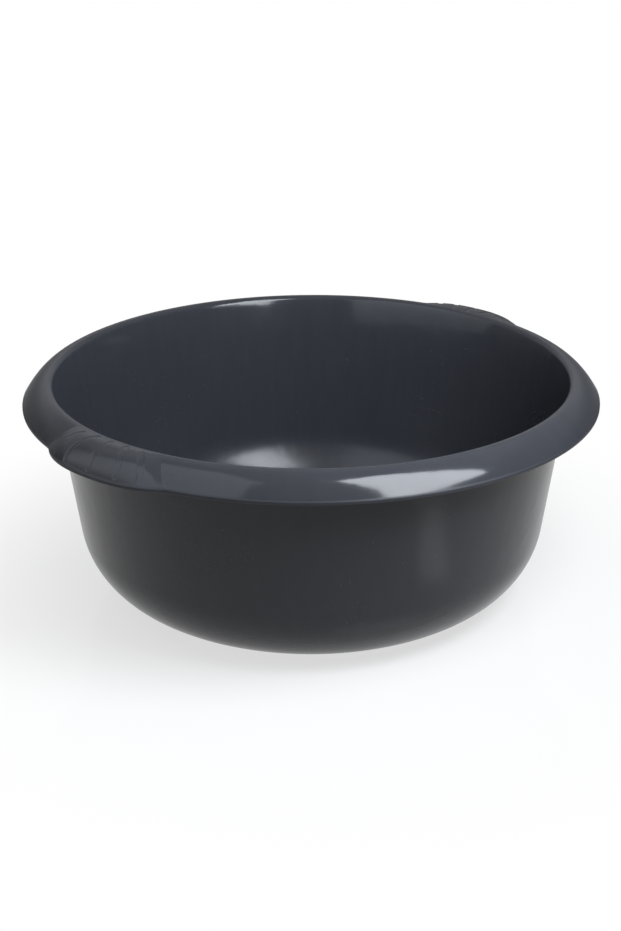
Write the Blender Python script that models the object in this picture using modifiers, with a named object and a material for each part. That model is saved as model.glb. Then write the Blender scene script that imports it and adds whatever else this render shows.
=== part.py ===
"""Round washing-up basin, injection moulded in one piece of dark grey plastic.

Metres, +Z up. The origin is on the axis, on the surface that the basin stands on, and the two
grips of the rim lie on the X axis. One wall thickness runs through the whole moulding: a floor on
a low foot ring, a rounded corner, a tapering wall, and a rim that rolls outwards over a hollow
underside and ends in a beaded lip. The rim swells into a grip on each side, and a fan of shallow
grooves is sunk into each grip.
"""

import math

import bmesh
import bpy
from mathutils import Vector

# Overall sizes
LIP_DIAMETER = 0.320
HEIGHT = 0.127
WALL = 0.0020

# Wall and corner
CORNER_RADIUS = 0.0474
SHOULDER_RADIUS = 0.0054
WALL_DRAFT = math.radians(7.6)

# Rim, from where the shoulder reaches the top to the lip
RIM_WIDTH = 0.0137
RIM_DROP = 0.0125
BEAD_HEIGHT = 0.0016
BEAD_PROUD = 0.0004
CREST_HANDLE_SHARE = 0.45
LIP_HANDLE_WIDTH_SHARE = 0.16
LIP_HANDLE_DROP_SHARE = 0.30
BEAD_FACE_SHARE = 0.75

# Foot and the moulding's gate mark, on the underside
FOOT_RING_WIDTH = 0.0105
BASE_RECESS = 0.0012
RECESS_SLOPE = 0.0025
GATE_DISH_DIAMETER = 0.0120
GATE_STUB_DIAMETER = 0.0032
GATE_DISH_DEPTH = 0.0005

# Grips, one at each end of the X axis
GRIP_LENGTH = 0.0866
GRIP_REACH = 0.0069
GRIP_CROWN = 0.0025
GRIP_CREST_SHARE = 0.78

# Grooves of a grip, from its middle outwards, as shares of half its length and of the rim
GROOVE_WIDTH = 0.0026
GROOVE_DEPTH = 0.0006
GROOVE_CREST_SHARES = (0.0, 0.26, 0.53, 0.84)
GROOVE_LIP_SHARES = (0.0, 0.41, 0.69, 0.97)
GROOVE_START_SHARES = (0.08, 0.10, 0.18, 0.34)
GROOVE_END_SHARE = 0.92
GROOVE_FULL_SHARES = (1.0, 1.0, 1.0, 0.86)
GROOVE_TIP_SHARE = 0.60

CUT_OVERRUN = 0.0020
WELD_DISTANCE = 0.00001

# How finely round shapes are divided
GRIP_STEPS = 14
PLAIN_STEPS = 30
CORNER_STEPS = 7
SHOULDER_STEPS = 4
RIM_STEPS = 7
GATE_STEPS = 24
GROOVE_STEPS = 8
GROOVE_RESOLUTION = 2

# Sizes that follow from those above
LIP_RADIUS = LIP_DIAMETER / 2
LIP_HEIGHT = HEIGHT - RIM_DROP
CREST_RADIUS = LIP_RADIUS - RIM_WIDTH
SHOULDER_HEIGHT = HEIGHT - SHOULDER_RADIUS
INNER_CORNER_RADIUS = CORNER_RADIUS - WALL
CORNER_TOP = CORNER_RADIUS - CORNER_RADIUS * math.sin(WALL_DRAFT)
SHOULDER_WALL_RADIUS = CREST_RADIUS - (SHOULDER_RADIUS - WALL) / math.cos(WALL_DRAFT)
CORNER_WALL_RADIUS = SHOULDER_WALL_RADIUS - (SHOULDER_HEIGHT - CORNER_TOP) * math.tan(WALL_DRAFT)
FOOT_RADIUS = CORNER_WALL_RADIUS - CORNER_RADIUS * math.cos(WALL_DRAFT)
RECESS_RADIUS = FOOT_RADIUS - FOOT_RING_WIDTH
GRIP_HALF_ANGLE = GRIP_LENGTH / LIP_DIAMETER


def lerp(start, end, share):
    """Value at a share of the way from start to end."""
    return start + (end - start) * share


def arc_points(centre, radius, start, end, steps):
    """Points of an arc in the radius and height plane, both ends included."""
    points = []
    for step in range(steps + 1):
        angle = lerp(start, end, step / steps)
        points.append((centre[0] + radius * math.cos(angle), centre[1] + radius * math.sin(angle)))
    return points


def rim_curve(along):
    """Top of the rim as radius and height: along runs from 0 at the crest to 1 at the bead."""
    width = RIM_WIDTH - BEAD_PROUD
    drop = RIM_DROP - BEAD_HEIGHT
    start = (CREST_RADIUS, HEIGHT)
    end = (CREST_RADIUS + width, HEIGHT - drop)
    crest_handle = (start[0] + CREST_HANDLE_SHARE * width, start[1])
    lip_handle = (end[0] - LIP_HANDLE_WIDTH_SHARE * width, end[1] + LIP_HANDLE_DROP_SHARE * drop)
    back = 1 - along
    weights = (back**3, 3 * along * back**2, 3 * along**2 * back, along**3)
    handles = (start, crest_handle, lip_handle, end)
    radius = sum(weight * handle[0] for weight, handle in zip(weights, handles))
    height = sum(weight * handle[1] for weight, handle in zip(weights, handles))
    return radius, height


def wall_profile():
    """Show side of the moulding from the middle of the floor to the lip: radius, height, along."""
    corner_centre = (FOOT_RADIUS, CORNER_RADIUS)
    shoulder_centre = (CREST_RADIUS, SHOULDER_HEIGHT)
    side = math.pi - WALL_DRAFT
    points = [(0.0, WALL + BASE_RECESS), (RECESS_RADIUS - RECESS_SLOPE, WALL + BASE_RECESS)]
    points.append((RECESS_RADIUS, WALL))
    points += arc_points(corner_centre, INNER_CORNER_RADIUS, -math.pi / 2, -WALL_DRAFT, CORNER_STEPS)
    points += arc_points(shoulder_centre, SHOULDER_RADIUS, side, math.pi / 2, SHOULDER_STEPS)
    profile = [(radius, height, 0.0) for radius, height in points]
    for step in range(1, RIM_STEPS + 1):
        radius, height = rim_curve(step / RIM_STEPS)
        profile.append((radius, height, step / RIM_STEPS))
    profile.append((LIP_RADIUS, LIP_HEIGHT + BEAD_FACE_SHARE * BEAD_HEIGHT, 1.0))
    profile.append((LIP_RADIUS, LIP_HEIGHT, 1.0))
    return profile


def grip_shift(angle, along):
    """How far a grip swells outwards and upwards, at an angle from the grip's middle."""
    half = GRIP_HALF_ANGLE * lerp(GRIP_CREST_SHARE, 1.0, along)
    swell = max(0.0, 1.0 - (angle / half) ** 2)
    outwards = GRIP_REACH * swell * math.sin(along * math.pi / 2)
    upwards = GRIP_CROWN * swell * math.sin(along * math.pi)
    return outwards, upwards


def swell_grips(bm, along_layer):
    """Moves the rim's points out into the two grips, which face +X and -X."""
    for vert in bm.verts:
        along = vert[along_layer]
        if along == 0:
            continue
        radius = math.hypot(vert.co.x, vert.co.y)
        angle = math.atan2(vert.co.y, abs(vert.co.x))
        outwards, upwards = grip_shift(angle, along)
        vert.co.x *= 1 + outwards / radius
        vert.co.y *= 1 + outwards / radius
        vert.co.z += upwards


def moulding_surface():
    """Open show surface of the basin, spun in four arcs: a grip, a plain side, and both again."""
    bm = bmesh.new()
    along_layer = bm.verts.layers.float.new("along")
    start = -GRIP_HALF_ANGLE
    verts = []
    for radius, height, along in wall_profile():
        vert = bm.verts.new((radius * math.cos(start), radius * math.sin(start), height))
        vert[along_layer] = along
        verts.append(vert)
    edges = [bm.edges.new(pair) for pair in zip(verts, verts[1:])]
    geometry = verts + edges
    grip_arc = (2 * GRIP_HALF_ANGLE, GRIP_STEPS)
    plain_arc = (math.pi - 2 * GRIP_HALF_ANGLE, PLAIN_STEPS)
    for angle, steps in (grip_arc, plain_arc, grip_arc, plain_arc):
        spun = bmesh.ops.spin(
            bm, geom=geometry, axis=(0, 0, 1), cent=(0, 0, 0), angle=angle, steps=steps
        )
        geometry = spun["geom_last"]
    bmesh.ops.remove_doubles(bm, verts=bm.verts, dist=WELD_DISTANCE)
    swell_grips(bm, along_layer)
    mesh = bpy.data.meshes.new("basin")
    bm.to_mesh(mesh)
    bm.free()
    return mesh


def dark_plastic():
    """Satin dark grey polypropylene, a little blue."""
    material = bpy.data.materials.new("dark_grey_plastic")
    material.use_nodes = True
    shader = material.node_tree.nodes["Principled BSDF"]
    shader.inputs["Base Color"].default_value = (0.036, 0.038, 0.044, 1.0)
    shader.inputs["Roughness"].default_value = 0.32
    shader.inputs["Metallic"].default_value = 0.0
    return material


def moulded_basin(collection):
    """The basin's shell at its full thickness, before its grooves and gate mark are cut."""
    mesh = moulding_surface()
    mesh.shade_smooth()
    mesh.materials.append(dark_plastic())
    basin = bpy.data.objects.new("basin", mesh)
    collection.objects.link(basin)
    solidify = basin.modifiers.new("wall", "SOLIDIFY")
    solidify.thickness = WALL
    solidify.offset = -1
    solidify.use_even_offset = True
    solidify.use_quality_normals = True
    return basin


def groove_path(side, order, share):
    """Point on a grip's surface at a share of a groove's length, from its crest end."""
    along = lerp(GROOVE_START_SHARES[order], GROOVE_END_SHARE, share)
    spread = math.sin(share * math.pi / 2)
    across = lerp(GROOVE_CREST_SHARES[order], GROOVE_LIP_SHARES[order], spread)
    angle = side * across * GRIP_HALF_ANGLE
    outwards, upwards = grip_shift(angle, along)
    radius, height = rim_curve(along)
    radius += outwards
    height += upwards
    return Vector((radius * math.cos(angle), radius * math.sin(angle), height))


def groove_spline(curve, side, order, tube_radius):
    """Adds the tube that cuts one groove: it dips into the surface and leaves it at both tips."""
    lift = tube_radius - GROOVE_DEPTH
    step = 1 / GROOVE_STEPS
    spline = curve.splines.new("POLY")
    spline.points.add(GROOVE_STEPS)
    for number in range(GROOVE_STEPS + 1):
        share = number * step
        point = groove_path(side, order, share)
        before = groove_path(side, order, max(share - step, 0.0))
        after = groove_path(side, order, min(share + step, 1.0))
        sideways = Vector((0, 0, 1)).cross(point)
        out = (after - before).cross(sideways).normalized()
        spline.points[number].co = (*(point + out * lift), 1.0)
        fullness = math.sqrt(math.sin(share * math.pi))
        spline.points[number].radius = lerp(GROOVE_TIP_SHARE, GROOVE_FULL_SHARES[order], fullness)


def groove_cutter(collection):
    """All grooves of both grips as one mesh of closed tubes."""
    curve = bpy.data.curves.new("groove_tubes", "CURVE")
    curve.dimensions = "3D"
    tube_radius = (GROOVE_WIDTH**2 / 4 + GROOVE_DEPTH**2) / (2 * GROOVE_DEPTH)
    curve.bevel_depth = tube_radius
    curve.bevel_resolution = GROOVE_RESOLUTION
    curve.use_fill_caps = True
    groove_spline(curve, 1, 0, tube_radius)
    for order in range(1, len(GROOVE_CREST_SHARES)):
        groove_spline(curve, 1, order, tube_radius)
        groove_spline(curve, -1, order, tube_radius)
    tubes = bpy.data.objects.new("groove_tubes", curve)
    collection.objects.link(tubes)
    evaluated = tubes.evaluated_get(bpy.context.evaluated_depsgraph_get())
    mesh = bpy.data.meshes.new_from_object(evaluated)
    bpy.data.objects.remove(tubes)
    bm = bmesh.new()
    bm.from_mesh(mesh)
    bmesh.ops.remove_doubles(bm, verts=bm.verts, dist=WELD_DISTANCE)
    other_grip = bmesh.ops.duplicate(bm, geom=bm.verts[:] + bm.edges[:] + bm.faces[:])["geom"]
    turned = [item for item in other_grip if isinstance(item, bmesh.types.BMVert)]
    for vert in turned:
        vert.co.x *= -1
        vert.co.y *= -1
    bm.to_mesh(mesh)
    bm.free()
    return cutter("groove_cutter", mesh, collection)


def gate_cutter(collection):
    """Ring that sinks a dish into the base's underside and leaves the gate's stub in its middle."""
    bm = bmesh.new()
    inner = GATE_STUB_DIAMETER / 2
    outer = GATE_DISH_DIAMETER / 2
    top = BASE_RECESS + GATE_DISH_DEPTH
    bottom = BASE_RECESS - CUT_OVERRUN
    corners = ((inner, bottom), (outer, bottom), (outer, top), (inner, top))
    verts = [bm.verts.new((radius, 0, height)) for radius, height in corners]
    edges = [bm.edges.new((verts[number - 1], verts[number])) for number in range(len(verts))]
    bmesh.ops.spin(
        bm, geom=verts + edges, axis=(0, 0, 1), cent=(0, 0, 0), angle=2 * math.pi, steps=GATE_STEPS,
        use_merge=True,
    )
    bmesh.ops.recalc_face_normals(bm, faces=bm.faces)
    mesh = bpy.data.meshes.new("gate_cutter")
    bm.to_mesh(mesh)
    bm.free()
    return cutter("gate_cutter", mesh, collection)


def cutter(name, mesh, collection):
    """Object that cuts others and isn't part of the model."""
    body = bpy.data.objects.new(name, mesh)
    body.display_type = "WIRE"
    body.hide_render = True
    collection.objects.link(body)
    return body


def cut(body, tool):
    """Takes the tool's shape out of a body."""
    boolean = body.modifiers.new(tool.name, "BOOLEAN")
    boolean.operation = "DIFFERENCE"
    boolean.solver = "EXACT"
    boolean.object = tool


def new_collection(name):
    """Collection linked to the scene."""
    collection = bpy.data.collections.new(name)
    bpy.context.scene.collection.children.link(collection)
    return collection


def main():
    """Clears the scene and builds the basin."""
    for old in list(bpy.data.objects):
        bpy.data.objects.remove(old)
    parts = new_collection("plastic_basin")
    cutters = new_collection("cutters")
    basin = moulded_basin(parts)
    cut(basin, groove_cutter(cutters))
    cut(basin, gate_cutter(cutters))


main()
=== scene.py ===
# %% [markdown]
# # A moulded washing-up basin
#
# This lesson gives a plastic basin its looks. On the real object the floor, the foot, the wall, the
# rolled rim and the two grips are one skin of plastic about two millimetres thick, shot into a
# mould in one go. Nothing is screwed or clipped on, so the scene holds one piece too.
#
# The packed solid comes first. It sets the true size and place, and everything below is measured
# against it.

# %% Load the packed solid
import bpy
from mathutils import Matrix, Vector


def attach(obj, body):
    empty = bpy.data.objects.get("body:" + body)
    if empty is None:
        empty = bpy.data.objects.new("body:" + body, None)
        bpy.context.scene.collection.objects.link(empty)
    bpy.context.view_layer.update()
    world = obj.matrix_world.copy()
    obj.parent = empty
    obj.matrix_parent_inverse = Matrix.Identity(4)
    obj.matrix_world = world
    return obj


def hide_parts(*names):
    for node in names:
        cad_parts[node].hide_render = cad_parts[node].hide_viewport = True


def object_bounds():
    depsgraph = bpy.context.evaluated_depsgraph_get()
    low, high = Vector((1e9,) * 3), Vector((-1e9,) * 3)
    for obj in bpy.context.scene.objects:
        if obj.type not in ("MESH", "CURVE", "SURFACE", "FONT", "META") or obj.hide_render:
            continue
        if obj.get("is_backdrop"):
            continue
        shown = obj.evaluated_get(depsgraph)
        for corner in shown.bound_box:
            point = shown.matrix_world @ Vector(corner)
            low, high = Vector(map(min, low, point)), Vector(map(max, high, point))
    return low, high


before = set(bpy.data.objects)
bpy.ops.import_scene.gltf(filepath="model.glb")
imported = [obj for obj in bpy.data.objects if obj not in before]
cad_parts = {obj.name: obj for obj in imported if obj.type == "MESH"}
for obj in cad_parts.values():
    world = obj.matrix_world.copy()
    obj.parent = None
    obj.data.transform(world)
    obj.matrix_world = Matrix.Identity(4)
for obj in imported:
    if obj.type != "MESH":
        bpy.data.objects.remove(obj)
cad_low, cad_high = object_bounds()
print("nodes:", sorted(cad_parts))

# %% Blender's modules and Python's
import math

import bmesh
import bpy
from mathutils import Matrix, Vector
from mathutils.kdtree import KDTree

MM_PER_METRE = 1000


def in_mm(lengths, digits=1):
    """Metres as rounded millimetres, for printing."""
    return [round(MM_PER_METRE * length, digits) for length in lengths]


print("the solid's box, in mm:", in_mm(cad_high - cad_low))

# %% [markdown]
# ## Sizes
#
# The lip's radius and the reach of the grips are read from the solid's box, so the fine surface
# can't drift away from it. The other sizes are those that a mould maker would write on the drawing:
# wall, corner, foot, rim and lip. All lengths are in metres.

# %% Sizes of the moulding
LIP_RADIUS = cad_high.y
GRIP_REACH = cad_high.x - cad_high.y
HEIGHT = 0.127
WALL = 0.0020
FOOT_RADIUS = 0.08515
CORNER_RADIUS = 0.0474
WALL_DRAFT = math.radians(7.6)
FLARE_HEIGHT = 0.104
FLARE_ANGLE = math.radians(15.5)
SHOULDER_RADIUS = 0.0032
RIM_WIDTH = 0.01416
RIM_DROP = 0.0131
LIP_INSET = 0.0007
LIP_RISE = 0.0026
LIP_UPPER_RADIUS = 0.0006
LIP_LOWER_RADIUS = 0.0005
FOOT_RING_WIDTH = 0.0105
BASE_RECESS = 0.0012
RECESS_SLOPE = 0.0025

LIP_HEIGHT = HEIGHT - RIM_DROP
CREST_RADIUS = LIP_RADIUS - RIM_WIDTH
SHOULDER_HEIGHT = HEIGHT - SHOULDER_RADIUS
RECESS_RADIUS = FOOT_RADIUS - FOOT_RING_WIDTH
print("radius of the crest and of the recess, in mm:", in_mm((CREST_RADIUS, RECESS_RADIUS)))

# %% [markdown]
# ## The turned profile
#
# Seen in section the basin is a thin strip: the show side runs from the middle of the floor up the
# wall and over the rim to the lip, and the back runs home underneath. A Screw modifier could turn
# an open strip and Solidify could thicken it. Here the strip is drawn closed instead, because the
# two faces differ: the back has the foot, the gate's mark and no grooves.
#
# The lip isn't sharp: the rim's slope runs on to a small rounding, an upright face and a rounding
# under it. Each is less than a millimetre across, and without them the edge would be harder than a
# moulding's ever is.
#
# Each row of the strip is a radius, a height and two marks. `along` says how far out over the rim
# the row lies, from 0 at the crest to 1 at the lip, and the grips are swollen by it later. `show` is
# 1 on the top of the rim, where the grooves are sunk, and 0 elsewhere.

# %% Arcs and blends
QUARTER_TURN = math.pi / 2


def lerp(start, end, share):
    return start + (end - start) * share


def smooth(share):
    """Rise from 0 to 1 with soft ends while the share does so evenly."""
    share = min(max(share, 0.0), 1.0)
    return share * share * (3 - 2 * share)


def arc(centre, radius, start, end, steps):
    angles = [lerp(start, end, step / steps) for step in range(steps + 1)]
    return [(centre[0] + radius * math.cos(a), centre[1] + radius * math.sin(a)) for a in angles]


print("a quarter of the way, smoothed:", smooth(0.25))

# %% The top of the rim is one Bezier curve
CREST_HANDLE_SHARE = 0.45
LIP_HANDLE_WIDTH_SHARE = 0.16
LIP_HANDLE_DROP_SHARE = 0.30


def rim_handles():
    width = RIM_WIDTH - LIP_INSET
    drop = RIM_DROP - LIP_RISE
    start = Vector((CREST_RADIUS, HEIGHT))
    end = Vector((CREST_RADIUS + width, HEIGHT - drop))
    crest_handle = start + Vector((CREST_HANDLE_SHARE * width, 0))
    lip_handle = end + Vector((-LIP_HANDLE_WIDTH_SHARE * width, LIP_HANDLE_DROP_SHARE * drop))
    return start, crest_handle, lip_handle, end


def rim_point(along, depth=0.0):
    """Point of the rim's top, or that far under it."""
    start, first, second, end = rim_handles()
    back = 1 - along
    point = start * back**3 + first * 3 * along * back**2 + second * 3 * along**2 * back + end * along**3
    slope = (first - start) * back**2 + (second - first) * 2 * along * back + (end - second) * along**2
    inwards = Vector((slope.y, -slope.x)).normalized()
    return point + inwards * depth


print("the rim's curve ends at, in mm:", in_mm(rim_point(1.0)))

# %% Floor, corner, wall and shoulder
RECESS_STEPS = 6
CORNER_STEPS = 20
WALL_STEPS = 4
FLARE_STEPS = 8
SHOULDER_STEPS = 10


def recess_curve(level):
    """Slope of the recess in the base, or of the raised floor above it."""
    rows = []
    for step in range(RECESS_STEPS + 1):
        share = step / RECESS_STEPS
        radius = RECESS_RADIUS - RECESS_SLOPE * (1 - share)
        rows.append((radius, level + BASE_RECESS * (1 - smooth(share))))
    return rows


def wall_curve(corner_radius, shoulder_radius):
    corner = arc((FOOT_RADIUS, CORNER_RADIUS), corner_radius, -QUARTER_TURN, -WALL_DRAFT, CORNER_STEPS)
    shoulder_centre = (CREST_RADIUS, SHOULDER_HEIGHT)
    shoulder_start = math.pi - FLARE_ANGLE
    shoulder = arc(shoulder_centre, shoulder_radius, shoulder_start, QUARTER_TURN, SHOULDER_STEPS)
    low, high = Vector(corner[-1]), Vector(shoulder[0])
    leaning = Vector((math.tan(WALL_DRAFT), 1.0))
    flaring = Vector((math.tan(FLARE_ANGLE), 1.0))
    bend = low + leaning * (FLARE_HEIGHT - low.y)
    reach = high - bend
    turn = high - flaring * (reach.x - reach.y * leaning.x) / (flaring.x - leaning.x)
    straight = [tuple(low.lerp(bend, step / WALL_STEPS)) for step in range(1, WALL_STEPS + 1)]
    flare = []
    for step in range(1, FLARE_STEPS):
        share = step / FLARE_STEPS
        flare.append(tuple(bend.lerp(turn, share).lerp(turn.lerp(high, share), share)))
    return corner + straight + flare + shoulder


print("rows up the wall:", len(wall_curve(CORNER_RADIUS, SHOULDER_RADIUS)))

# %% The lip, and the whole show side
RIM_STEPS = 24
LIP_STEPS = 4


def lip_curve():
    """The rim's slope runs on to a small rounding, an upright face and a rounding under it."""
    second, end = rim_handles()[2:]
    slope = (end - second).normalized()
    facing = math.atan2(slope.x, -slope.y)
    run = (LIP_INSET - LIP_UPPER_RADIUS * (1 - math.cos(facing))) / slope.x
    upper_height = (end + slope * run).y - LIP_UPPER_RADIUS * math.sin(facing)
    upper_centre = (LIP_RADIUS - LIP_UPPER_RADIUS, upper_height)
    lower_centre = (LIP_RADIUS - LIP_LOWER_RADIUS, LIP_HEIGHT + LIP_LOWER_RADIUS)
    upper = arc(upper_centre, LIP_UPPER_RADIUS, facing, 0.0, LIP_STEPS)
    return upper + arc(lower_centre, LIP_LOWER_RADIUS, 0.0, -QUARTER_TURN, LIP_STEPS)


def plain_rows(points, along):
    """Rows in which no groove is sunk, all equally far out over the rim."""
    return [(radius, height, along, 0.0) for radius, height in points]


def show_rows():
    inside = [(0.0, WALL + BASE_RECESS)] + recess_curve(WALL)
    inside += wall_curve(CORNER_RADIUS - WALL, SHOULDER_RADIUS)
    shares = [step / RIM_STEPS for step in range(1, RIM_STEPS + 1)]
    rim = [(*rim_point(along), along, 1.0) for along in shares]
    return plain_rows(inside, 0.0) + rim + plain_rows(lip_curve(), 1.0)


print("rows on the show side:", len(show_rows()))

# %% The back, from the lip home to the middle of the base
BACK_RIM_STEPS = 14
LIP_FILLET = 0.0003
LIP_FILLET_STEPS = 3
GATE_DISH_RADIUS = 0.0060
GATE_DISH_DEPTH = 0.0005
GATE_DISH_RAMP = 1.6
GATE_STUB_RADIUS = 0.0016
GATE_SHOULDER_WIDTH_SHARE = 0.94
GATE_SHOULDER_DEPTH_SHARE = 0.3
GATE_FACE_WIDTH_SHARE = 0.75
GATE_STEPS = 6


def gate_curve():
    """Shallow dish in the base, with the stub that the gate leaves in its middle."""
    rows = []
    for step in range(GATE_STEPS + 1):
        share = step / GATE_STEPS
        radius = lerp(GATE_DISH_RADIUS, GATE_STUB_RADIUS, share)
        rows.append((radius, BASE_RECESS + GATE_DISH_DEPTH * smooth(GATE_DISH_RAMP * share)))
    shoulder_height = BASE_RECESS + GATE_SHOULDER_DEPTH_SHARE * GATE_DISH_DEPTH
    rows.append((GATE_SHOULDER_WIDTH_SHARE * GATE_STUB_RADIUS, shoulder_height))
    rows.append((GATE_FACE_WIDTH_SHARE * GATE_STUB_RADIUS, BASE_RECESS))
    return rows + [(0.0, BASE_RECESS)]


def back_rows():
    lip_inside = LIP_RADIUS - WALL
    fillet_centre = (lip_inside + LIP_FILLET, LIP_HEIGHT + LIP_FILLET)
    fillet = arc(fillet_centre, LIP_FILLET, -QUARTER_TURN, -math.pi, LIP_FILLET_STEPS)
    shares = [step / BACK_RIM_STEPS for step in range(BACK_RIM_STEPS, 0, -1)]
    rim = [(*rim_point(along, depth=WALL), along, 0.0) for along in shares]
    outside = wall_curve(CORNER_RADIUS, SHOULDER_RADIUS - WALL)[::-1]
    base = outside + recess_curve(0.0)[::-1] + gate_curve()
    return plain_rows(fillet, 1.0) + rim + plain_rows(base, 0.0)


profile = show_rows() + back_rows()
print("rows in the whole strip:", len(profile))

# %% [markdown]
# ## Turning the profile
#
# `bmesh.ops.spin` turns the strip, as a lathe would. The turn is made in four arcs: each grip gets
# narrow steps and the plain sides get wider ones, so that the fine faces are where the detail is.
# The last column falls on the first, so doubles are merged, and the faces are then made to point
# outwards.

# %% Spin the strip
GRIP_LENGTH = 0.0866
GRIP_HALF_ANGLE = GRIP_LENGTH / (2 * LIP_RADIUS)
GRIP_COLUMNS = 96
PLAIN_COLUMNS = 96
WELD = 0.00001


def turned_basin():
    bm = bmesh.new()
    along_layer = bm.verts.layers.float.new("along")
    show_layer = bm.verts.layers.float.new("show")
    first = Matrix.Rotation(-GRIP_HALF_ANGLE, 3, "Z")
    strip = []
    for radius, height, along, show in profile:
        vert = bm.verts.new(first @ Vector((radius, 0, height)))
        vert[along_layer] = along
        vert[show_layer] = show
        strip.append(vert)
    geometry = strip + [bm.edges.new(pair) for pair in zip(strip, strip[1:])]
    grip_arc = (2 * GRIP_HALF_ANGLE, GRIP_COLUMNS)
    plain_arc = (math.pi - 2 * GRIP_HALF_ANGLE, PLAIN_COLUMNS)
    for angle, steps in (grip_arc, plain_arc, grip_arc, plain_arc):
        spun = bmesh.ops.spin(bm, geom=geometry, axis=(0, 0, 1), angle=angle, steps=steps)
        geometry = spun["geom_last"]
    bmesh.ops.remove_doubles(bm, verts=bm.verts, dist=WELD)
    bmesh.ops.recalc_face_normals(bm, faces=bm.faces)
    return bm


basin_bm = turned_basin()
along_layer = basin_bm.verts.layers.float["along"]
show_layer = basin_bm.verts.layers.float["show"]
print("turned:", len(basin_bm.verts), "points,", len(basin_bm.faces), "faces")

# %% [markdown]
# ## The grooves in the grips
#
# Five shallow channels fan out over each grip, the middle one straight and the others leaning
# outwards, and a crease on either side marks where the grip ends. They are real steps in the
# plastic, about 0.4 mm deep at the crest and half that at the lip, so they are modelled and not left
# to a bump map. A boolean would cut them, but it leaves slivers that shade badly on a curved face.
# Instead the faces near each line are divided finely, and the points in the channels are sunk.
#
# First come the lines themselves, as a cloud of points that can be searched. Each row of values
# gives the middle line, the next two on either side and the crease, which has no width and no depth.

# %% Centre lines of the grooves
CREASE = 3
GRIP_CREST_SHARE = 0.75
GRIP_LIP_SHARE = 1.02
GROOVE_CREST_SHARES = (0.0, 0.26, 0.53, GRIP_CREST_SHARE)
GROOVE_LIP_SHARES = (0.0, 0.41, 0.70, GRIP_LIP_SHARE)
GROOVE_START_SHARES = (0.09, 0.11, 0.19, 0.34)
GROOVE_END_SHARES = (0.86, 0.86, 0.86, 0.97)


def groove_point(side, order, share):
    """Point of a line, at a share of its length, on the grip that faces +X."""
    along = lerp(GROOVE_START_SHARES[order], GROOVE_END_SHARES[order], share)
    spread = along if order == CREASE else math.sin(share * QUARTER_TURN)
    across = lerp(GROOVE_CREST_SHARES[order], GROOVE_LIP_SHARES[order], spread)
    radius, height = rim_point(along)
    return Matrix.Rotation(side * across * GRIP_HALF_ANGLE, 3, "Z") @ Vector((radius, 0, height))


print("the middle groove starts at, in mm:", in_mm(groove_point(1, 0, 0.0)))

# %% The same lines as a cloud of points
GROOVE_HALF_WIDTHS = (0.00142, 0.00142, 0.00135, 0.0)
GROOVE_HEAD_DEPTHS = (0.00041, 0.00041, 0.00037, 0.0)
GROOVE_TAIL_DEPTHS = (0.00019, 0.00019, 0.00018, 0.0)
GROOVE_FADE = 1.6
GROOVE_SAMPLES = 70


def groove_samples():
    """Points of all lines, each with its groove's half width and its depth there."""
    found = []
    for order, half_width in enumerate(GROOVE_HALF_WIDTHS):
        for side in (1, -1) if order else (1,):
            for number in range(GROOVE_SAMPLES + 1):
                share = number / GROOVE_SAMPLES
                fade = smooth(GROOVE_FADE * share)
                depth = lerp(GROOVE_HEAD_DEPTHS[order], GROOVE_TAIL_DEPTHS[order], fade)
                found.append((groove_point(side, order, share), half_width, depth))
    return found


samples = groove_samples()
cloud = KDTree(len(samples))
for number, sample in enumerate(samples):
    cloud.insert(sample[0], number)
cloud.balance()
print("points in the cloud:", len(samples))


# %% Find the nearest groove
def nearest_groove(point):
    """Distance to the nearest groove's edge, less than 0 inside it, and that groove's depth."""
    facing = Vector((abs(point.x), math.copysign(1, point.x) * point.y, point.z))
    number, distance = cloud.find(facing)[1:]
    half_width, depth = samples[number][1:]
    return distance - half_width, depth


print("from the middle of the base to a groove, in mm:", in_mm(nearest_groove(Vector((0, 0, 0)))[:1]))

# %% Divide the faces near the grooves
GROOVE_MARGIN = 0.0009
GROOVE_CUTS = 4


def near_groove(face):
    on_rim = all(vert[show_layer] > 0 for vert in face.verts)
    return on_rim and nearest_groove(face.calc_center_median())[0] < GROOVE_MARGIN


groove_faces = [face for face in basin_bm.faces if near_groove(face)]
groove_edges = list({edge for face in groove_faces for edge in face.edges})
bmesh.ops.subdivide_edges(basin_bm, edges=groove_edges, cuts=GROOVE_CUTS, use_grid_fill=True)
for vert in basin_bm.verts:
    if vert[show_layer] == 1:
        radius, height = rim_point(vert[along_layer])
        turn = math.atan2(vert.co.y, vert.co.x)
        vert.co = (radius * math.cos(turn), radius * math.sin(turn), height)
print("divided", len(groove_faces), "faces into", len(basin_bm.faces), "in all")

# %% How deep each point lies in a groove
GROOVE_BLEND = 0.00042


def groove_sink(point):
    """Depth at a point. Half of the blend lies on either side of the groove's edge."""
    distance, depth = nearest_groove(point)
    return depth * smooth(0.5 - distance / GROOVE_BLEND)


depths = {vert: groove_sink(vert.co) for vert in basin_bm.verts if vert[show_layer] == 1}
sinks = {vert: depth for vert, depth in depths.items() if depth > 0}
print("points in the grooves:", len(sinks))

# %% [markdown]
# ## Swelling the grips
#
# Each grip is a place where the rim bulges out and up. The bulge is nearly flat over its middle and
# falls away fast at its two ends, which leaves the creases there. One formula moves every point of
# the rim by its angle from the grip's middle and by `along`, and because the back carries the same
# marks as the top, the skin keeps its thickness.
#
# The grooves are sunk last, straight into the swollen surface, by the depths found above.

# %% Swell the rim
GRIP_CROWN = 0.00240
SWELL_POWER = 3.0
SWELL_SOFTNESS = 0.07


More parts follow.
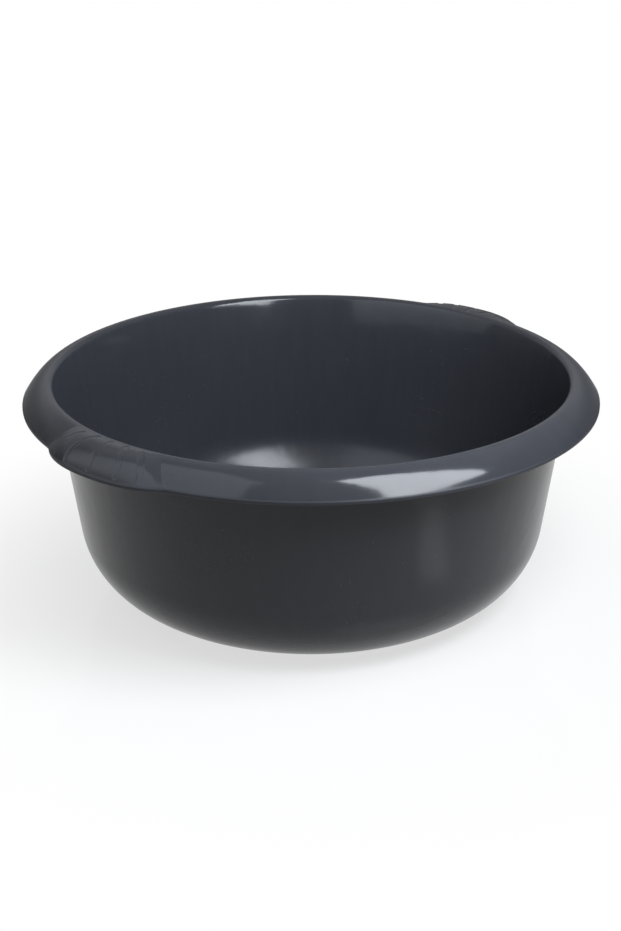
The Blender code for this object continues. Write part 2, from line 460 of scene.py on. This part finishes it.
def swell_at(turn, along):
    """1 over the middle of a grip and 0 beyond its ends, with a soft foot."""
    half = GRIP_HALF_ANGLE * lerp(GRIP_CREST_SHARE, GRIP_LIP_SHARE, along)
    rise = max(0.0, 1.0 - abs(turn / half) ** SWELL_POWER)
    return (1 + SWELL_SOFTNESS) * rise * rise / (rise + SWELL_SOFTNESS)


for vert in basin_bm.verts:
    along = vert[along_layer]
    if along > 0:
        turn = math.atan2(vert.co.y, abs(vert.co.x))
        swell = swell_at(turn, along)
        outwards = GRIP_REACH * swell * math.sin(along * QUARTER_TURN)
        sideways = Vector((vert.co.x, vert.co.y, 0)).normalized() * outwards
        vert.co += sideways + Vector((0, 0, GRIP_CROWN * swell * math.sin(along * math.pi)))
print("radius out to a grip, in mm:", in_mm([max(vert.co.x for vert in basin_bm.verts)]))

# %% Sink the grooves
basin_bm.normal_update()
for vert, sink in sinks.items():
    vert.co -= vert.normal * sink
print("deepest groove, in mm:", in_mm([max(sinks.values())], digits=2))


# %% Make the piece and let it stand for the solid
def made_object(name, bm):
    """Turn a bmesh into an object in the scene."""
    mesh = bpy.data.meshes.new(name)
    bm.to_mesh(mesh)
    bm.free()
    made = bpy.data.objects.new(name, mesh)
    bpy.context.scene.collection.objects.link(made)
    return made


basin = made_object("basin_moulding", basin_bm)
basin.data.shade_smooth()
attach(basin, "root")
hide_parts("basin")
basin.data.calc_loop_triangles()
print("basin:", len(basin.data.loop_triangles), "triangles")

# %% [markdown]
# ## Shader maths as Python
#
# A material is a graph of nodes, and a formula in it soon takes a dozen of them. The class below
# wraps one socket. Adding, subtracting or multiplying two of them adds the Math node that does so,
# so a formula reads as it does on paper. Every other node comes from `node`, which takes its type,
# its settings and what goes into its sockets.
#
# A Mix node has a socket for each kind of value, and its colours have the numbers named here.

# %% A socket that can be reckoned with
MIX_FIRST = 6
MIX_SECOND = 7
MIX_RESULT = 2


class Wire:
    def __init__(self, socket):
        self.socket = socket

    def node(self, kind, settings=None, sockets=None, output=0):
        tree = self.socket.id_data
        made = tree.nodes.new(kind)
        for name, value in (settings or {}).items():
            setattr(made, name, value)
        for key, value in (sockets or {}).items():
            if isinstance(value, Wire):
                tree.links.new(value.socket, made.inputs[key])
            else:
                made.inputs[key].default_value = value
        return Wire(made.outputs[output])

    def maths(self, operation, *values):
        return self.node("ShaderNodeMath", {"operation": operation}, dict(enumerate(values)))

    def __add__(self, other):
        return self.maths("ADD", self, other)

    def __sub__(self, other):
        return self.maths("SUBTRACT", self, other)

    def __rsub__(self, other):
        return self.maths("SUBTRACT", other, self)

    def __mul__(self, other):
        return self.maths("MULTIPLY", self, other)

    __radd__ = __add__
    __rmul__ = __mul__

    def vectors(self, operation, *others, output=0):
        """Vector Math on this vector and any others."""
        values = dict(enumerate((self, *others)))
        return self.node("ShaderNodeVectorMath", {"operation": operation}, values, output)

    def length(self):
        return self.vectors("LENGTH", output="Value")

    def axis(self, letter):
        """One part of this vector: X, Y or Z."""
        return self.node("ShaderNodeSeparateXYZ", {}, {"Vector": self}, letter)

    def step(self, start, end):
        """Rise smoothly from 0 to 1 while this value goes from start to end."""
        sockets = {"Value": self, "From Min": start, "From Max": end}
        return self.node("ShaderNodeMapRange", {"interpolation_type": "SMOOTHSTEP"}, sockets)

    def between(self, first, second):
        """The colour that lies this share of the way from the first to the second."""
        sockets = {0: self, MIX_FIRST: first, MIX_SECOND: second}
        return self.node("ShaderNodeMix", {"data_type": "RGBA"}, sockets, MIX_RESULT)

    def noise(self, scale, detail=1.0):
        sockets = {"Vector": self, "Scale": scale, "Detail": detail}
        return self.node("ShaderNodeTexNoise", {}, sockets, "Fac")

    def stretched(self, scale):
        return self.node("ShaderNodeMapping", {}, {"Vector": self, "Scale": scale})


print("a wire can:", [name for name in vars(Wire) if not name.startswith("_")])


# %% Materials and their sockets
def plain_material(name):
    """A new material that holds one Principled BSDF, and that node."""
    material = bpy.data.materials.new(name)
    material.use_nodes = True
    return material, material.node_tree.nodes["Principled BSDF"]


def object_place(material):
    return Wire(material.node_tree.nodes.new("ShaderNodeTexCoord").outputs["Object"])


def feed(wire, shader, name):
    wire.socket.id_data.links.new(wire.socket, shader.inputs[name])


plastic, shader = plain_material("dark_grey_plastic")
place = object_place(plastic)
basin.data.materials.append(plastic)
print("new material:", plastic.name)

# %% [markdown]
# ## The plastic
#
# The basin is dark grey polypropylene with a trace of blue. The rim is glossy, so a lamp has a crisp
# edge in it. The bowl and the wall are a little duller, so the same lamp is a soft patch there. The
# edge of the lip, where the two halves of the mould part, is duller still, and the lamp spreads
# along it as a soft pale line.
#
# Up close such plastic is never even. It flows out from the gate in the middle of the floor, so
# faint streaks run outwards. Its skin has long shallow waves, a very fine grain and a few dull
# scuffs from stacking.
#
# All of it is worked out from Object coordinates, so it stays put in any view and needs no picture.

# %% The plastic's colour
PLASTIC_DARK = (0.0235, 0.0252, 0.0305, 1.0)
PLASTIC_LIGHT = (0.0255, 0.0274, 0.0331, 1.0)
LEVEL_PLANE = (1.0, 1.0, 0.0)
FLOW_STRETCH = (1.2, 1.2, 1.2)
STREAK_SCALE = 26.0
STREAK_DETAIL = 3.0
STREAK_STEP = (0.3, 0.7)
STREAK_SHARE = 0.7
SPECK_SCALE = 620.0
SPECK_STEP = (0.35, 0.75)
SPECK_SHARE = 0.3

from_axis = place.vectors("MULTIPLY", LEVEL_PLANE)
flow = from_axis.vectors("NORMALIZE").vectors("ADD", place.stretched(FLOW_STRETCH))
streaks = flow.noise(STREAK_SCALE, STREAK_DETAIL).step(*STREAK_STEP)
specks = place.noise(SPECK_SCALE).step(*SPECK_STEP)
tone = STREAK_SHARE * streaks + SPECK_SHARE * specks
feed(tone.between(PLASTIC_DARK, PLASTIC_LIGHT), shader, "Base Color")
print("nodes with the colour:", len(plastic.node_tree.nodes))

# %% Scuffs from stacking
WEAR_SCALE = 34.0
WEAR_DETAIL = 4.0
WEAR_STEP = (0.45, 0.75)
SCRATCH_SCALE = 1.0
SCRATCH_DETAIL = 2.0
SCRATCH_STRETCHES = ((900.0, 60.0, 300.0), (70.0, 800.0, 260.0))
SCRATCH_STEPS = ((0.62, 0.72), (0.63, 0.72))


def scratches(stretch, step):
    return place.stretched(stretch).noise(SCRATCH_SCALE, SCRATCH_DETAIL).step(*step)


wear = place.noise(WEAR_SCALE, WEAR_DETAIL).step(*WEAR_STEP)
one_way, other_way = map(scratches, SCRATCH_STRETCHES, SCRATCH_STEPS)
scuffs = wear * (one_way + other_way)
print("nodes with the scuffs:", len(plastic.node_tree.nodes))

# %% The plastic's gloss
GLOSS_LEVEL = 0.27
BOWL_ROUGHNESS = 0.23
RIM_ROUGHNESS = 0.12
RIM_GLOSS_ABOVE = (0.104, 0.120)
LIP_DULLNESS = 0.36
LIP_DULL_FROM = (0.1555, 0.1565)
LIP_DULL_BELOW = (0.1158, 0.1165)
WEAR_DULLNESS = 0.03
SCUFF_DULLNESS = 0.06

shader.inputs["Specular IOR Level"].default_value = GLOSS_LEVEL
above_base = place.axis("Z")
rim_share = above_base.step(*RIM_GLOSS_ABOVE)
lip_share = from_axis.length().step(*LIP_DULL_FROM) * (1 - above_base.step(*LIP_DULL_BELOW))
moulded = BOWL_ROUGHNESS + (RIM_ROUGHNESS - BOWL_ROUGHNESS) * rim_share + LIP_DULLNESS * lip_share
feed(moulded + WEAR_DULLNESS * wear + SCUFF_DULLNESS * scuffs, shader, "Roughness")
print("nodes with the gloss:", len(plastic.node_tree.nodes))

# %% Waves, grain and scuffs in the skin
WAVE_SCALE = 95.0
WAVE_HEIGHT = 0.00010
GRAIN_SCALE = 1500.0
GRAIN_HEIGHT = 0.0000025
SCUFF_HEIGHT = -0.0000012

waves = place.noise(WAVE_SCALE)
grain = place.noise(GRAIN_SCALE)
relief = WAVE_HEIGHT * waves + GRAIN_HEIGHT * grain + SCUFF_HEIGHT * scuffs
bump = place.node("ShaderNodeBump", {}, {"Height": relief, "Strength": 1.0, "Distance": 1.0})
feed(bump, shader, "Normal")
print("nodes of the plastic:", len(plastic.node_tree.nodes))

# %% [markdown]
# ## The camera
#
# The photograph looks down on the basin by about 22 degrees with a short telephoto lens. One grip
# is at the front left and the other at the back right, so the camera stands 48 degrees round from
# the middle of the plain side.

# %% Place the camera
FRAME_HEIGHT = 931
CAMERA_AZIMUTH = math.radians(-48.5)
CAMERA_ELEVATION = math.radians(22.434)
CAMERA_DISTANCE = 0.90116
CAMERA_AIM = Vector((0, 0, 0.06818))
CAMERA_ROLL = math.radians(-0.2197)
CAMERA_LENS = 60.79
SHIFT_PIXELS = (-0.9, 0.5)

level = math.cos(CAMERA_ELEVATION)
backwards = Vector((
    math.sin(CAMERA_AZIMUTH) * level, -math.cos(CAMERA_AZIMUTH) * level, math.sin(CAMERA_ELEVATION)
))
camera_data = bpy.data.cameras.new("camera")
camera_data.lens = CAMERA_LENS
camera_data.shift_x = SHIFT_PIXELS[0] / FRAME_HEIGHT
camera_data.shift_y = SHIFT_PIXELS[1] / FRAME_HEIGHT
camera = bpy.data.objects.new("camera", camera_data)
camera.location = CAMERA_AIM + backwards * CAMERA_DISTANCE
turned = (-backwards).to_track_quat("-Z", "Y").to_matrix() @ Matrix.Rotation(CAMERA_ROLL, 3, "Z")
camera.rotation_euler = turned.to_euler()
bpy.context.scene.collection.objects.link(camera)
bpy.context.scene.camera = camera
print("camera at, in mm:", in_mm(camera.location))

# %% [markdown]
# ## The floor and the backdrop
#
# The basin stands on a glossy white sheet. The sheet near the basin takes the soft shadow. Further
# out it melts into plain white, which the camera and the reflections see and which lights nothing.
# The world does the same near the horizon. Overhead it is the grey of a studio's ceiling.
#
# The light that the sheet sends back up would brighten the wall from below more than in the
# photograph, so the sheet is a darker grey to that light than to the eye.


# %% The world, with a white that only shows
def white_to_eyes(wire):
    """1 for rays from the camera and for mirrored or refracted ones, 0 for the rest."""
    path = wire.node("ShaderNodeLightPath", output="Is Camera Ray")
    rays = path.socket.node.outputs
    seen = path + Wire(rays["Is Glossy Ray"]) + Wire(rays["Is Transmission Ray"])
    return seen.maths("MINIMUM", seen, 1.0)


WHITE = (1.0, 1.0, 1.0, 1.0)
AMBIENT = 0.66
WHITE_BELOW = 0.20
GREY_ABOVE = 0.50

world = bpy.data.worlds.new("white_room")
world.use_nodes = True
bpy.context.scene.world = world
backdrop = world.node_tree.nodes["Background"]
backdrop.inputs["Color"].default_value = WHITE
sky = Wire(world.node_tree.nodes.new("ShaderNodeTexCoord").outputs["Generated"])
white_wall = 1 - sky.axis("Z").step(WHITE_BELOW, GREY_ABOVE)
feed(AMBIENT + (1 - AMBIENT) * white_wall * white_to_eyes(sky), backdrop, "Strength")
print("world:", len(world.node_tree.nodes), "nodes")

# %% The sheet on the floor
FLOOR_HALF_SIDE = 4.0

floor_bm = bmesh.new()
bmesh.ops.create_grid(floor_bm, x_segments=1, y_segments=1, size=FLOOR_HALF_SIDE)
floor = made_object("floor", floor_bm)
floor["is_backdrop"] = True
print("floor:", 2 * FLOOR_HALF_SIDE, "m square")

# %% The sheet's white
FLOOR_WHITE = (0.80, 0.80, 0.80, 1.0)
FLOOR_BOUNCE = (0.32, 0.32, 0.32, 1.0)
SHEET_ROUGHNESS = 0.07
FLOOR_FADE_START = 0.10
FLOOR_FADE_END = 0.30
FLOOR_LEAST_FADE = 0.66

sheet, sheet_shader = plain_material("white_sheet")
sheet_shader.inputs["Roughness"].default_value = SHEET_ROUGHNESS
distance = object_place(sheet).length()
eyes = white_to_eyes(distance)
feed(eyes.between(FLOOR_BOUNCE, FLOOR_WHITE), sheet_shader, "Base Color")
fade = distance.step(FLOOR_FADE_START, FLOOR_FADE_END)
faded = (FLOOR_LEAST_FADE + (1 - FLOOR_LEAST_FADE) * fade) * eyes
glow = distance.node("ShaderNodeEmission", {}, {"Color": WHITE, "Strength": 1.0})
surface = distance.node("ShaderNodeMixShader", {}, {0: faded, 1: Wire(sheet_shader.outputs[0]), 2: glow})
feed(surface, sheet.node_tree.nodes["Material Output"], "Surface")
floor.data.materials.append(sheet)
print("sheet:", len(sheet.node_tree.nodes), "nodes")

# %% [markdown]
# ## The dark surroundings
#
# A real studio isn't white all round, and dark glossy plastic shows it: the two ends of the rim
# mirror something dark that stands low round the sheet. A wide cone of cloth stands for it, dark at
# its foot and pale higher up. The camera looks through it, as if a panel had been taken out.

# %% A curtain round the sheet
CURTAIN_LOW_RADIUS = 0.52
CURTAIN_HIGH_RADIUS = 2.3
CURTAIN_HEIGHT = 2.2
CURTAIN_SIDES = 48

curtain_bm = bmesh.new()
bmesh.ops.create_cone(
    curtain_bm, segments=CURTAIN_SIDES, radius1=CURTAIN_LOW_RADIUS, radius2=CURTAIN_HIGH_RADIUS,
    depth=CURTAIN_HEIGHT, matrix=Matrix.Translation((0, 0, CURTAIN_HEIGHT / 2))
)
bmesh.ops.reverse_faces(curtain_bm, faces=curtain_bm.faces)
curtain = made_object("curtain", curtain_bm)
curtain.visible_camera = False
curtain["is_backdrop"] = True
print("curtain:", len(curtain.data.polygons), "panels")

# %% The curtain's cloth
CURTAIN_DARK = (0.22, 0.22, 0.22, 1.0)
CURTAIN_PALE = (0.72, 0.72, 0.72, 1.0)
CURTAIN_DARK_BELOW = 0.11
CURTAIN_PALE_ABOVE = 0.50
CLOTH_ROUGHNESS = 0.9

cloth, cloth_shader = plain_material("grey_cloth")
cloth_shader.inputs["Roughness"].default_value = CLOTH_ROUGHNESS
paleness = object_place(cloth).axis("Z").step(CURTAIN_DARK_BELOW, CURTAIN_PALE_ABOVE)
feed(paleness.between(CURTAIN_DARK, CURTAIN_PALE), cloth_shader, "Base Color")
curtain.data.materials.append(cloth)
print("cloth:", len(cloth.node_tree.nodes), "nodes")

# %% [markdown]
# ## The lamps
#
# The photograph's highlights tell where its main lamp stood. The long bright patch on the front of
# the rim and the soft one on the inside corner both mirror one tall softbox to the right of the
# camera. It is an area lamp: a large lamp has soft shadows, and a glossy surface shows it as the
# patch that it is. A small card that glows on the floor below it gives the streak down the wall.


# %% The tall softbox
def softbox(name, centre, facing, across, size, radiance, colour):
    """Area lamp that faces one way, with its width along another and an even glow."""
    data = bpy.data.lights.new(name, "AREA")
    data.shape = "RECTANGLE"
    data.size, data.size_y = size
    data.energy = radiance * math.pi * size[0] * size[1]
    data.color = colour
    lamp = bpy.data.objects.new(name, data)
    lamp.visible_camera = False
    back = -Vector(facing).normalized()
    upwards = back.cross(Vector(across)).normalized()
    turn = Matrix((upwards.cross(back), upwards, back)).transposed()
    lamp.matrix_world = Matrix.Translation(centre) @ turn.to_4x4()
    bpy.context.scene.collection.objects.link(lamp)
    print(name, "power", round(data.energy, 3), "W")


COOL = (0.95, 1.0, 1.07)
SOFTBOX_CENTRE = (-0.0692, -0.2843, 0.483)
SOFTBOX_FACING = (0.0193, 0.998, -0.069)
SOFTBOX_ACROSS = (0.994, -0.0123, 0.106)
SOFTBOX_SIZE = (0.188, 0.490)
SOFTBOX_RADIANCE = 18.2

softbox(
    "main_softbox", SOFTBOX_CENTRE, SOFTBOX_FACING, SOFTBOX_ACROSS, SOFTBOX_SIZE, SOFTBOX_RADIANCE, COOL
)
bpy.context.scene.view_settings.view_transform = "Standard"

# %% The small card on the floor
NEUTRAL = (1.0, 1.0, 1.0)
FLOOR_CARD_CENTRE = (-0.028, -0.222, 0.001)
FLOOR_CARD_FACING = (0.0, 0.0, 1.0)
FLOOR_CARD_ACROSS = (1.0, 0.0, 0.0)
FLOOR_CARD_SIZE = (0.036, 0.065)
FLOOR_CARD_RADIANCE = 0.9

softbox(
    "floor_card", FLOOR_CARD_CENTRE, FLOOR_CARD_FACING, FLOOR_CARD_ACROSS, FLOOR_CARD_SIZE,
    FLOOR_CARD_RADIANCE, NEUTRAL
)

# %% [markdown]
# ## The pale board
#
# The front grip and the rim beside it mirror something pale that stands on the left, and the point
# in which that band ends on the rim's front is the corner of its slanted top edge. Here it is one
# upright sheet. It glows more at the front and higher up, and lower down it is as bright as the
# curtain behind it, so it has no other edge. It is there to be mirrored and lights nothing.

# %% The board on the left
BOARD_PLACE = -0.37
BOARD_CORNERS = ((-0.12, 0.10), (-0.12, 0.66), (0.30, 1.34), (1.00, 1.34), (1.00, 0.10))

board_bm = bmesh.new()
corners = [board_bm.verts.new((BOARD_PLACE, across, height)) for across, height in BOARD_CORNERS]
board_bm.faces.new(corners)
board = made_object("board", board_bm)
board.visible_camera = False
board.visible_diffuse = False
board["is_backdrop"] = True
print("board:", round(sum(face.area for face in board.data.polygons), 2), "square metres")

# %% The board's glow
BOARD_LEAST = 0.78
BOARD_MOST = 2.1
BOARD_RISE = (0.13, 0.30)
BOARD_FALL = (0.10, 0.90)

# The board is no lamp. Its glow is painted light, brighter at the front and higher up as a lit board
# would be, and only the grip and the rim mirror it.
card = plain_material("glowing_card")[0]
card_place = object_place(card)
card_high = card_place.axis("Z").step(*BOARD_RISE)
card_back = card_place.axis("Y").step(*BOARD_FALL)
card_strength = BOARD_LEAST + (BOARD_MOST - BOARD_LEAST) * card_high * (1 - card_back)
card_light = card_place.node("ShaderNodeEmission", {}, {"Color": (*COOL, 1.0), "Strength": card_strength})
feed(card_light, card.node_tree.nodes["Material Output"], "Surface")
board.data.materials.append(card)
print("board's glow:", len(card.node_tree.nodes), "nodes")

# %% Compare with the solid's box
low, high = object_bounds()
print("past the solid's box, in mm:", in_mm((*(cad_low - low), *(high - cad_high)), digits=3))
